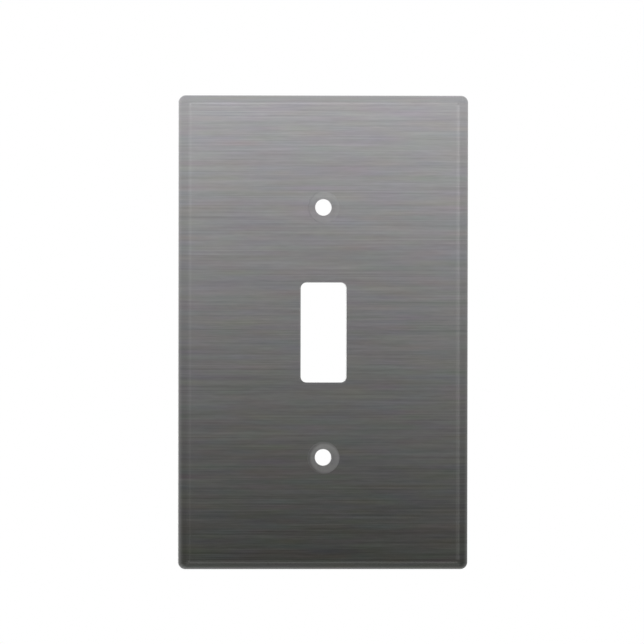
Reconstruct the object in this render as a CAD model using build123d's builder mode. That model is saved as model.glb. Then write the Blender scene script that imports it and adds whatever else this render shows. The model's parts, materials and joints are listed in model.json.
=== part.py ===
"""Single-gang toggle switch plate: one moulding with a bevelled rim and a ribbed, hollow back.

The origin is the centre of the wall plane. +Z is up, +X is right and the front faces -Y.
Lengths are in millimetres.
"""
from build123d import *
import os

# Outline of the plate on the wall, and how far its face stands off the wall
plate_width = 69.85
plate_height = 114.3
plate_depth = 5.6
corner_radius = 1.7

# Bevelled rim, a little wider along the sides than at the two ends
side_bevel_run = 2.45
end_bevel_run = 1.9
bevel_drop = 2.0
face_corner_radius = 0.6
shoulder_radius = 1.4
skirt_edge_radius = 0.6
wall_edge_radius = 0.3

# Walls of the moulding
face_wall = 2.3
skirt_wall = 1.8
cavity_corner_radius = 1.2
cavity_root_radius = 0.8

# Opening for the toggle, with a collar behind it
toggle_width = 11.1
toggle_height = 24.1
toggle_corner_radius = 1.4
mouth_radius = 0.4
collar_wall = 1.5
collar_height = 1.6

# Two countersunk screw holes, each with a boss behind it
screw_spacing = 60.325
screw_hole_diameter = 4.0
countersink_diameter = 7.7
countersink_angle = 82
boss_diameter = 10.5
boss_height = 1.8

# Stiffening ribs: one across each boss and two down the length
rib_thickness = 1.2
rib_height = 1.3
long_rib_spacing = 36.0

# Rounding of the edges that stand up behind the face
back_edge_radius = 0.3

# Worked out from the sizes above
skirt_height = plate_depth - bevel_drop
cavity_depth = plate_depth - face_wall
cavity_width = plate_width - 2 * skirt_wall
cavity_height = plate_height - 2 * skirt_wall
wall_plane = Plane.XZ
skirt_plane = wall_plane.offset(skirt_height)
front_plane = wall_plane.offset(plate_depth)
floor_plane = wall_plane.offset(cavity_depth)


def edges_at(part, distance):
    """Edges of a part that lie flat in the plane at this distance in front of the wall."""
    near = 0.001
    level = part.edges().filter_by(Plane.XZ)
    return level.filter_by_position(Axis.Y, -distance - near, -distance + near)


def long_enough(edge):
    """True for a rib's own edges, and false for the short ones where it ends on a wall."""
    return edge.length > 2 * rib_thickness


with BuildPart() as switch_plate:
    # Outside: a straight skirt, then the bevel up to the flat face
    with BuildSketch(wall_plane):
        RectangleRounded(plate_width, plate_height, corner_radius)
    extrude(amount=skirt_height)
    with BuildSketch(skirt_plane):
        RectangleRounded(plate_width, plate_height, corner_radius)
    with BuildSketch(front_plane):
        RectangleRounded(
            plate_width - 2 * side_bevel_run,
            plate_height - 2 * end_bevel_run,
            face_corner_radius,
        )
    loft(ruled=True)
    fillet(edges_at(switch_plate, skirt_height), skirt_edge_radius)
    fillet(edges_at(switch_plate, plate_depth), shoulder_radius)
    fillet(edges_at(switch_plate, 0), wall_edge_radius)

    # Hollow back
    with BuildSketch(wall_plane):
        RectangleRounded(cavity_width, cavity_height, cavity_corner_radius)
    extrude(amount=cavity_depth, mode=Mode.SUBTRACT)
    fillet(edges_at(switch_plate, cavity_depth), cavity_root_radius)

    # Ribs on the floor of the hollow
    with BuildSketch(floor_plane):
        with GridLocations(0, screw_spacing, 1, 2):
            Rectangle(cavity_width, rib_thickness)
        with GridLocations(long_rib_spacing, 0, 2, 1):
            Rectangle(rib_thickness, cavity_height)
    extrude(amount=-rib_height)
    rib_tops = edges_at(switch_plate, cavity_depth - rib_height)
    fillet(rib_tops.filter_by(long_enough), back_edge_radius)

    # Collar and bosses
    with BuildSketch(floor_plane):
        RectangleRounded(
            toggle_width + 2 * collar_wall,
            toggle_height + 2 * collar_wall,
            toggle_corner_radius + collar_wall,
        )
    extrude(amount=-collar_height)
    fillet(edges_at(switch_plate, cavity_depth - collar_height), back_edge_radius)
    with BuildSketch(floor_plane):
        with GridLocations(0, screw_spacing, 1, 2):
            Circle(boss_diameter / 2)
    extrude(amount=-boss_height)
    fillet(edges_at(switch_plate, cavity_depth - boss_height), back_edge_radius)

    # Through openings
    with BuildSketch(wall_plane):
        RectangleRounded(toggle_width, toggle_height, toggle_corner_radius)
    extrude(amount=plate_depth, mode=Mode.SUBTRACT)
    mouth = switch_plate.faces().sort_by(Axis.Y)[0].inner_wires()
    fillet(mouth.edges(), mouth_radius)
    with Locations(front_plane):
        with GridLocations(0, screw_spacing, 1, 2):
            CounterSinkHole(
                screw_hole_diameter / 2,
                countersink_diameter / 2,
                counter_sink_angle=countersink_angle,
            )

switch_plate.part.label = "switch_plate"
os.makedirs("parts", exist_ok=True)
export_step(switch_plate.part, "parts/switch_plate.step")
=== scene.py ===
import json
import math

import bpy
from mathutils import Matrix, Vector


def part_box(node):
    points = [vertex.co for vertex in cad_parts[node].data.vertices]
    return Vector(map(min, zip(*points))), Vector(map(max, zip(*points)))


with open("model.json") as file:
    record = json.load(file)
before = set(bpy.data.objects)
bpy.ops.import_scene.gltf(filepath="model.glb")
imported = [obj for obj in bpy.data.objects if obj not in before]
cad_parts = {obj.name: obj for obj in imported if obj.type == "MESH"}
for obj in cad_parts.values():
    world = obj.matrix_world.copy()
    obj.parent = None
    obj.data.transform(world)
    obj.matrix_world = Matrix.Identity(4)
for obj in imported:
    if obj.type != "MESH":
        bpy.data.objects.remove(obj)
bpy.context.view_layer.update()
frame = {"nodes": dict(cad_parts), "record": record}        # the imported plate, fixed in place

mm = 0.001
plate = frame["nodes"]["switch_plate"]
plateLow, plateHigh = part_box("switch_plate")
plateDepth = plateHigh.y - plateLow.y
halfWidth = (plateHigh.x - plateLow.x) / 2
halfHeight = (plateHigh.z - plateLow.z) / 2
screwDims = next(m["dims"] for m in frame["record"]["mounts"] if m["name"] == "screw_holes")
screwReach = screwDims["spacing_y_mm"] * mm / 2        # from the middle up to a screw hole
screwRadius = screwDims["hole_r_mm"] * mm
slotBox = frame["record"]["physics"]["openings"][0]["box_m"]
slotCorner = slotBox[1]        # its upper right corner at the back
print(f"plate loaded: {2 * halfWidth / mm:.2f} x {2 * halfHeight / mm:.2f} x {plateDepth / mm:.2f} mm")


class Wire:
    # one output of a shader node that takes part in Python sums: each operator adds a Math node

    def __init__(self, tree, node, out=0):
        self.tree = tree
        self.node = node
        self.out = out

    @staticmethod
    def new(tree, kind, settings=None, sockets=None, out=0):
        # any node: its type, its settings, which are set first, then its sockets' values or links
        node = tree.nodes.new(kind)
        for name, value in (settings or {}).items():
            setattr(node, name, value)
        for name, value in (sockets or {}).items():
            if isinstance(value, Wire):
                tree.links.new(value.node.outputs[value.out], node.inputs[name])
            else:
                node.inputs[name].default_value = value
        return Wire(tree, node, out)

    def at(self, out):
        # another output of the same node
        return Wire(self.tree, self.node, out)

    def maths(self, operation, *terms):
        return Wire.new(self.tree, "ShaderNodeMath", {"operation": operation}, dict(enumerate(terms)))

    def __add__(self, other):
        return self.maths("ADD", self, other)

    def __sub__(self, other):
        return self.maths("SUBTRACT", self, other)

    def __rsub__(self, other):
        return self.maths("SUBTRACT", other, self)

    def __mul__(self, other):
        return self.maths("MULTIPLY", self, other)

    def __truediv__(self, other):
        return self.maths("DIVIDE", self, other)

    def __rtruediv__(self, other):
        return self.maths("DIVIDE", other, self)

    def __pow__(self, other):
        return self.maths("POWER", self, other)

    def __rpow__(self, other):
        return self.maths("POWER", other, self)

    def __abs__(self):
        return self.maths("ABSOLUTE", self)

    __radd__ = __add__
    __rmul__ = __mul__

    def larger(self, other):
        return self.maths("MAXIMUM", self, other)

    def rise(self, start, end):
        # smooth step: 0 up to start, 1 from end on
        return Wire.new(self.tree, "ShaderNodeMapRange", {"interpolation_type": "SMOOTHSTEP"},
                        {"Value": self, "From Min": start, "From Max": end})


# Finish of the plate. Tones are screen greys from 0 to 1, and lengths are in metres.
plateFinish = {
    # the print's shading
    "topTone": 0.638,            # light grey at the top edge
    "bottomTone": 0.245,         # charcoal at the bottom edge
    "topTint": (0.003, -0.002, 0.006),      # a breath of violet at the top
    "bottomTint": (0.001, 0.004, -0.005),   # and of olive at the bottom
    "glossLift": 0.028,          # the light that the gloss adds, taken off the ink
    "leastInk": 0.004,           # the darkest ink still sends back this much light
    "sideLift": 0.0100,          # towards the two sides the grey is this much lighter than in the middle
    "middleDip": 0.0085,         # and halfway up this much darker
    "bevelInk": (0.014, 0.030),  # painted shade on the left and right bevels, which turn away from the light: this much darker, most at the foot
    "bevelStart": 1.90 * mm,     # they start this far from the edge
    "bevelBlur": 0.15 * mm,      # and set in over this much to either side

    # its brushing: how long and how fine the lines are, and how strong
    "lines": [
        {"length": 52 * mm, "pitch": 0.25 * mm, "swing": 0.070, "seed": 1.3},
        {"length": 20 * mm, "pitch": 0.25 * mm, "swing": 0.065, "seed": 7.7},
        {"length": 4 * mm, "pitch": 0.24 * mm, "swing": 0.049, "seed": 13.1},
    ],
    "bands": {"length": 70 * mm, "pitch": 1.3 * mm, "swing": 0.020, "seed": 21.9},
    "tints": [                   # faint coloured bands, for red, green and blue
        {"length": 13 * mm, "pitch": 1.2 * mm, "swing": 0.034, "seed": 31.7},
        {"length": 13 * mm, "pitch": 1.2 * mm, "swing": 0.036, "seed": 38.4},
        {"length": 13 * mm, "pitch": 1.2 * mm, "swing": 0.042, "seed": 47.2},
    ],
    "brushFade": (0.81, 1.18),   # strength of all of these at the bottom and at the top
    "endTurn": 3 * mm,           # this near to an end the brushing starts to turn over the bevel

    # the bare white moulding
    "plasticTone": 0.900,
    "plasticSwing": 0.020,
    "grainSize": 0.35 * mm,

    # where it shows: each pair says where a change begins and where it is complete
    "skirtWall": 1.8 * mm,
    "faceWall": 2.3 * mm,
    "hollowBlur": (-0.30 * mm, -0.10 * mm),      # distances inside the walls of the hollow back
    "floorBlur": (-0.15 * mm, -0.05 * mm),       # and behind its floor
    "inkEdge": (1.25 * mm, 5.0 * mm),            # depths between which the print thins out over the skirt
    "footSlip": 0.20 * mm,                       # at the foot the white edge starts this much sooner
    "sideSlip": 0.05 * mm,                       # and at the left, while at the right it starts later
    "slotInset": 0.43 * mm,                      # the record's box stays this far inside the slot's walls
    "slotBlur": (0.08 * mm, 0.02 * mm),          # distances outside the slot's walls
    "slotInk": (0.36 * mm, 0.90 * mm),           # depths between which the print ends in the slot
    "coneEdge": (3.91 * mm, 3.82 * mm),          # distances from a hole's middle at a countersink's rim
    "rimBare": 0.062,                            # share of bare plastic at the rim of a countersink
    "coneBare": 0.170,                           # and further in
    "boreBlur": (0.05 * mm, 0.01 * mm),          # distances outside a bore's wall
    "boreInk": (2.0 * mm, 3.4 * mm),             # depths between which a bore's wall turns bare white; nearer the front it keeps the front's grey
    "rings": [                   # it thins inwards, round a point set off the hole's middle: painted light on the countersink's wall on that side and painted shade on the far wall
        {"up": 1, "edge": (3.98 * mm, 3.45 * mm), "slip": (0.10 * mm, 0.0)},               # upper hole
        {"up": -1, "edge": (3.80 * mm, 3.10 * mm), "slip": (0.31 * mm, -0.17 * mm)},       # lower hole
    ],

    # shine and relief
    "printRoughness": 0.30,
    "plasticRoughness": 0.48,
    "roughnessSwing": 0.08,
    "printMetallic": 0.20,
    "gloss": 0.32,
    "brushDepth": 0.006 * mm,
    "grainDepth": 0.012 * mm,
}
screenLift = 0.055        # the curve by which screens turn light into tones
screenPower = 2.4
lineGap = 5.37            # cells of noise between one line and the next, so that each is its own


def inkLight(tone):
    # a printed tone, as it looks on a screen from 0 to 1, turned into the light that it sends back
    return ((tone + screenLift) / (1 + screenLift)) ** screenPower


def drawnNoise(x, level, seed, length):
    # noise drawn out along x: its cells are this long, and it averages 0
    spot = Wire.new(x.tree, "ShaderNodeCombineXYZ", None, {"X": x / length, "Y": level, "Z": seed})
    noise = Wire.new(x.tree, "ShaderNodeTexNoise", {"noise_dimensions": "3D"},
                     {"Vector": spot, "Scale": 1.0, "Detail": 1.0, "Roughness": 0.5})
    return noise - 0.5


def lineField(x, v, line):
    # straight lines, one for each pitch of v: each has noise of its own and blends into the next one
    level = v / line["pitch"]
    number = level.maths("FLOOR", level)
    here = drawnNoise(x, number * lineGap, line["seed"], line["length"])
    above = drawnNoise(x, (number + 1) * lineGap, line["seed"], line["length"])
    return here + (level - number).rise(0, 1) * (above - here)


def bareInHole(finish, ring, x, z, depth):
    # round a screw hole: the print is thin in the countersink, with painted light on one wall and painted
    # shade on the far one, and a bore turns bare white deeper in
    up = z - ring["up"] * screwReach
    # painted light and shade: the ring's middle is set off towards the lit wall, which shows more white,
    # while the far wall keeps more grey
    litSideSlipX, litSideSlipUp = ring["slip"]
    fromScrew = (x ** 2 + up ** 2) ** 0.5
    fromRing = ((x - litSideSlipX) ** 2 + (up - litSideSlipUp) ** 2) ** 0.5
    thin = fromRing.rise(*ring["edge"]) * (finish["coneBare"] - finish["rimBare"]) + finish["rimBare"]
    bore = (fromScrew - screwRadius).rise(*finish["boreBlur"]) * depth.rise(*finish["boreInk"])
    return (fromScrew.rise(*finish["coneEdge"]) * thin).larger(bore)


def bareShare(finish, x, y, z):
    # how much bare plastic shows: 0 on the printed front, 1 on the back and in the slot
    depth = y + plateDepth
    inX = (halfWidth - finish["skirtWall"] - abs(x)).rise(*finish["hollowBlur"])
    inZ = (halfHeight - finish["skirtWall"] - abs(z)).rise(*finish["hollowBlur"])
    hollow = inX * inZ * (depth - finish["faceWall"]).rise(*finish["floorBlur"])

    foot = (0 - z).larger(0) / halfHeight
    side = x / halfWidth
    skirt = (depth + foot * finish["footSlip"] - side * finish["sideSlip"]).rise(*finish["inkEdge"])

    slotX = abs(x) - (slotCorner[0] + finish["slotInset"])
    slotZ = abs(z) - (slotCorner[2] + finish["slotInset"])
    slot = slotX.larger(slotZ).rise(*finish["slotBlur"]) * depth.rise(*finish["slotInk"])

    bare = hollow.larger(skirt).larger(slot)
    for ring in finish["rings"]:
        bare = bare.larger(bareInHole(finish, ring, x, z, depth))
    return bare


def printShade(finish, x, height):
    # the print's grey without its brushing, with painted shade on the side bevels: height runs from 0 at
    # the foot to 1 at the top
    side = x / halfWidth
    shade = finish["bottomTone"] + height * (finish["topTone"] - finish["bottomTone"])
    shade = shade + side ** 2 * finish["sideLift"]
    shade = shade - height * (1 - height) * 4 * finish["middleDip"]        # 4 makes it 1 halfway up
    # painted shade: the side bevels are darker, most at the foot and on the right
    inner = halfWidth - finish["bevelStart"]
    bevel = abs(x).rise(inner - finish["bevelBlur"], inner + finish["bevelBlur"]) * (1 - height)
    leftBevelShade, rightBevelShade = finish["bevelInk"]
    return shade - bevel * ((leftBevelShade + rightBevelShade) / 2 + side * ((rightBevelShade - leftBevelShade) / 2))


def brushedPrint(finish):
    material = bpy.data.materials.new("brushed_print")
    material.use_nodes = True
    tree = material.node_tree
    tree.nodes.clear()
    place = Wire.new(tree, "ShaderNodeTexCoord", out="Object")
    parts = Wire.new(tree, "ShaderNodeSeparateXYZ", None, {"Vector": place})
    x, y, z = (parts.at(name) for name in "XYZ")
    height = (z + halfHeight) / (2 * halfHeight)

    # over the two ends the brushing goes on round the bevel, so there it is counted along the depth too
    turnStart = halfHeight - finish["endTurn"]
    turn = z.rise(turnStart, halfHeight) - z.rise(-turnStart, -halfHeight)
    across = z + turn * (y + plateDepth)
    lines = [lineField(x, across, line) for line in finish["lines"]]
    brush = lineField(x, across, finish["bands"]) * finish["bands"]["swing"]
    for field, line in zip(lines, finish["lines"]):
        brush = brush + field * line["swing"]

    weak, strong = finish["brushFade"]
    strength = weak + height * (strong - weak)
    shade = printShade(finish, x, height)
    inks = []
    for tint, low, top in zip(finish["tints"], finish["bottomTint"], finish["topTint"]):
        streaks = (brush + lineField(x, across, tint) * tint["swing"]) * strength
        tone = shade + low + height * (top - low) + streaks
        inks.append((inkLight(tone) - finish["glossLift"]).larger(finish["leastInk"]))
    ink = Wire.new(tree, "ShaderNodeCombineColor", None, dict(zip(("Red", "Green", "Blue"), inks)))

    grain = Wire.new(tree, "ShaderNodeTexNoise", {"noise_dimensions": "3D"},
                     {"Vector": place, "Scale": 1 / finish["grainSize"], "Detail": 2.0}) - 0.5
    bareTone = inkLight(grain * finish["plasticSwing"] + finish["plasticTone"])
    plastic = Wire.new(tree, "ShaderNodeCombineColor", None,
                       {"Red": bareTone, "Green": bareTone, "Blue": bareTone})

    bare = bareShare(finish, x, y, z)
    colour = Wire.new(tree, "ShaderNodeMix", {"data_type": "RGBA"},
                      {0: bare, 6: ink, 7: plastic}, out=2)        # 6, 7 and 2 are its colour sockets
    rough = finish["printRoughness"] + lines[1] * finish["roughnessSwing"]
    rough = rough + bare * (finish["plasticRoughness"] - rough)
    relief = lines[2] * (1 - bare) * finish["brushDepth"] + grain * bare * finish["grainDepth"]
    normal = Wire.new(tree, "ShaderNodeBump", None, {"Strength": 1.0, "Distance": 1.0, "Height": relief})
    shader = Wire.new(tree, "ShaderNodeBsdfPrincipled", None,
                      {"Base Color": colour, "Roughness": rough, "Normal": normal,
                       "Metallic": (1 - bare) * finish["printMetallic"],
                       "Specular IOR Level": finish["gloss"]})
    Wire.new(tree, "ShaderNodeOutputMaterial", None, {"Surface": shader})
    return material


plate.data.materials.clear()
plate.data.materials.append(brushedPrint(plateFinish))
print("plate dressed: brushed print on the front, bare plastic behind")


# Studio: a white room, a pale floor below the plate, and soft panels round it
studio = {
    "roomLight": 0.60,           # what the room adds to the light on the plate
    "floorDrop": 260 * mm,       # the plate hangs this far above the floor
    "floorSize": 6.0,
    "floorColour": 0.8,
    "floorGlow": 0.36,           # what the camera sees of the floor: this much white
    "floorShade": 0.6,           # and this much paint, which takes the shadow
    "floorFade": (0.6, 2.4),     # further out it turns all white between these distances
    "panelWatts": 4,             # for each square metre of a panel whose glow is 1
    "panels": [                  # clock: direction seen from the camera, 0 is up and 90 is right
        {"name": "key_panel", "clock": 315, "lean": 40, "away": 0.8, "size": (0.30, 0.30), "glow": 2.62},
        {"name": "left_strip", "clock": 270, "lean": 25, "away": 0.8, "size": (0.20, 0.45), "glow": 0.66},
        {"name": "top_panel", "clock": 0, "lean": 50, "away": 0.8, "size": (0.45, 0.45), "glow": 0.90},
        {"name": "right_panel", "clock": 90, "lean": 42, "away": 0.6, "size": (0.60, 0.45), "glow": 0.56},
        {"name": "right_strip", "clock": 90, "lean": 60, "away": 0.8, "size": (0.14, 0.45), "glow": 0.86},
        {"name": "low_panel", "clock": 180, "lean": 74, "away": 0.3, "size": (0.30, 0.10), "glow": 1.45},
        {"name": "corner_panel", "clock": 215, "lean": 60, "away": 0.4, "size": (0.20, 0.20), "glow": 1.61},
        {"name": "back_panel", "clock": 335, "lean": 125, "away": 0.9, "size": (0.30, 0.30), "glow": 10.6,
         "mirrored": False},     # it lights the back, and no edge mirrors it towards the front
    ],
}
white = (1, 1, 1, 1)


def seenAsBackdrop(tree):
    # 1 for what the camera sees, straight or in a reflection or through glass
    path = Wire.new(tree, "ShaderNodeLightPath", out="Is Camera Ray")
    return path.larger(path.at("Is Glossy Ray")).larger(path.at("Is Transmission Ray"))


def buildRoom(look):
    world = bpy.data.worlds.new("studio")
    world.use_nodes = True
    bpy.context.scene.world = world
    tree = world.node_tree
    tree.nodes.clear()
    lit = Wire.new(tree, "ShaderNodeBackground", None, {"Color": white, "Strength": look["roomLight"]})
    seen = Wire.new(tree, "ShaderNodeBackground", None, {"Color": white, "Strength": 1.0})
    both = Wire.new(tree, "ShaderNodeMixShader", None, {0: seenAsBackdrop(tree), 1: lit, 2: seen})
    Wire.new(tree, "ShaderNodeOutputWorld", None, {"Surface": both})


def floorPaint(look):
    # pale paint for the light, and a whiter look for the camera
    material = bpy.data.materials.new("studio_floor")
    material.use_nodes = True
    tree = material.node_tree
    tree.nodes.clear()
    paint = Wire.new(tree, "ShaderNodeBsdfDiffuse", None, {"Color": (look["floorColour"],) * 3 + (1,)})
    shaded = Wire.new(tree, "ShaderNodeBsdfDiffuse", None, {"Color": (look["floorShade"],) * 3 + (1,)})
    glow = Wire.new(tree, "ShaderNodeEmission", None, {"Color": white, "Strength": look["floorGlow"]})
    near = Wire.new(tree, "ShaderNodeAddShader", None, {0: shaded, 1: glow})
    far = Wire.new(tree, "ShaderNodeEmission", None, {"Color": white, "Strength": 1.0})
    place = Wire.new(tree, "ShaderNodeTexCoord", out="Object")
    away = Wire.new(tree, "ShaderNodeVectorMath", {"operation": "LENGTH"}, {0: place}, out="Value")
    faded = away.rise(*look["floorFade"])
    shown = Wire.new(tree, "ShaderNodeMixShader", None, {0: faded, 1: near, 2: far})
    both = Wire.new(tree, "ShaderNodeMixShader", None, {0: seenAsBackdrop(tree), 1: paint, 2: shown})
    below = Wire.new(tree, "ShaderNodeNewGeometry", out="Backfacing")
    clear = Wire.new(tree, "ShaderNodeBsdfTransparent")        # from below the floor is seen through
    oneSided = Wire.new(tree, "ShaderNodeMixShader", None, {0: below, 1: both, 2: clear})
    Wire.new(tree, "ShaderNodeOutputMaterial", None, {"Surface": oneSided})
    return material


def buildFloor(look):
    half = look["floorSize"] / 2
    level = plateLow.z - look["floorDrop"]
    mesh = bpy.data.meshes.new("studio_floor")
    corners = [(-half, -half, level), (half, -half, level), (half, half, level), (-half, half, level)]
    mesh.from_pydata(corners, [], [(0, 1, 2, 3)])
    mesh.materials.append(floorPaint(look))
    floor = bpy.data.objects.new("studio_floor", mesh)
    bpy.context.scene.collection.objects.link(floor)


def buildPanels(look):
    middle = Vector((0, plateLow.y, 0))
    for panel in look["panels"]:
        clock = math.radians(panel["clock"])
        lean = math.radians(panel["lean"])
        aim = Vector((math.sin(clock) * math.sin(lean), -math.cos(lean), math.cos(clock) * math.sin(lean)))
        lamp = bpy.data.lights.new(panel["name"], "AREA")
        lamp.shape = "RECTANGLE"
        lamp.size, lamp.size_y = panel["size"]
        lamp.energy = panel["glow"] * look["panelWatts"] * lamp.size * lamp.size_y
        holder = bpy.data.objects.new(panel["name"], lamp)
        holder.location = middle + aim * panel["away"]
        holder.rotation_euler = aim.to_track_quat("Z", "Y").to_euler()
        holder.visible_glossy = panel.get("mirrored", True)
        bpy.context.scene.collection.objects.link(holder)


buildRoom(studio)
buildFloor(studio)
buildPanels(studio)
print(f"studio lit: {len(studio['panels'])} soft panels")


# Photograph: a square picture of this many pixels, and the plate's outline in it
photo = {
    "side": 644,
    "plateWide": 289.5,
    "plateCentre": (323.55, 332.42),
    "roll": -0.09,               # degrees of the camera's roll: the plate leans slightly clockwise
    "stand": (3.0, 0.8),         # degrees that the camera stands off to the left and above
    "outlineDepth": 2.0 * mm,    # the outline is the bevel's outer edge, this far behind the face
    "lens": 600,
    "sensor": 36,
    "nearest": 10 * mm,          # the camera sees nothing closer than this
}


def aimCamera(view):
    perPixel = 2 * halfWidth / view["plateWide"]
    away = view["side"] * perPixel * view["lens"] / view["sensor"]
    camera = bpy.data.cameras.new("photo_camera")
    camera.lens = view["lens"]
    camera.sensor_width = view["sensor"]
    camera.clip_start = view["nearest"]
    holder = bpy.data.objects.new("photo_camera", camera)
    offX = (view["side"] / 2 - view["plateCentre"][0]) * perPixel
    offZ = (view["plateCentre"][1] - view["side"] / 2) * perPixel
    left, above = (math.radians(angle) for angle in view["stand"])
    sight = Vector((math.sin(left) * math.cos(above), math.cos(left) * math.cos(above), -math.sin(above)))
    holder.location = Vector((offX, plateLow.y + view["outlineDepth"], offZ)) - sight * away
    holder.rotation_euler = (math.radians(90) - above, math.radians(view["roll"]), -left)
    bpy.context.scene.collection.objects.link(holder)
    bpy.context.scene.camera = holder
    print(f"camera set: {away:.3f} m in front of the plate")


aimCamera(photo)
bpy.context.scene.view_settings.view_transform = "Standard"
